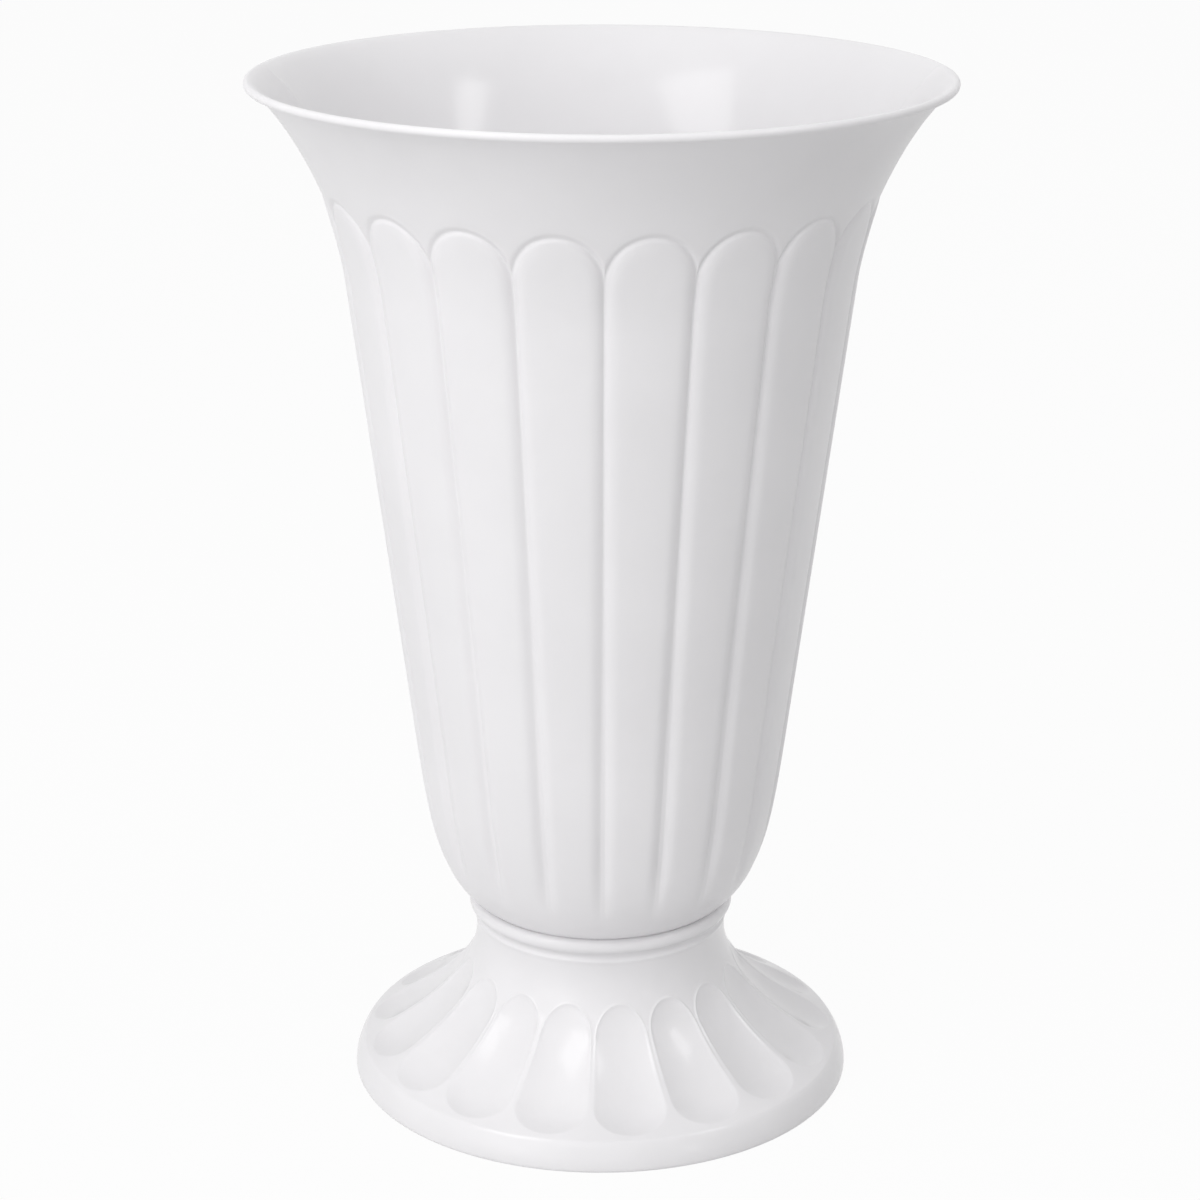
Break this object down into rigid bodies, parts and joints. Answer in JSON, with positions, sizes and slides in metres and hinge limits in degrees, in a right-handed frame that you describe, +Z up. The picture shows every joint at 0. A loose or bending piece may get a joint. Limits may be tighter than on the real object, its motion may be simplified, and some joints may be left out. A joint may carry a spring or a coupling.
{
  "type": "floor vase",
  "caption": "Tall white two-part flower vase: trumpet body with arched raised petals and a rolled rim, on a hollow scalloped pedestal foot.",
  "frame": {"origin": "centre of the ring that the foot stands on, at ground level", "axes": "+Z up along the vase's axis, -Y is the front that the picture faces, +X to the right"},
  "size_m": [0.328, 0.3279, 0.5],
  "materials": {
    "body_plastic": "satin white moulded plastic, glossier inside",
    "foot_plastic": "glossy white moulded plastic",
    "screw_steel": "zinc-plated steel",
    "plug_plastic": "white moulded plastic"
  },
  "bodies": {
    "vase": {"vase_body": "body_plastic", "foot": "foot_plastic", "fixing_screw_1": "screw_steel", "fixing_screw_2": "screw_steel", "fixing_screw_3": "screw_steel"},
    "plug": {"drain_plug": "plug_plastic"}
  },
  "joints": [
    {"name": "plug_lift", "type": "slide", "parent": "vase", "child": "plug", "axis": [0, 0, 1], "range_m": [0, 0.04]}
  ]
}
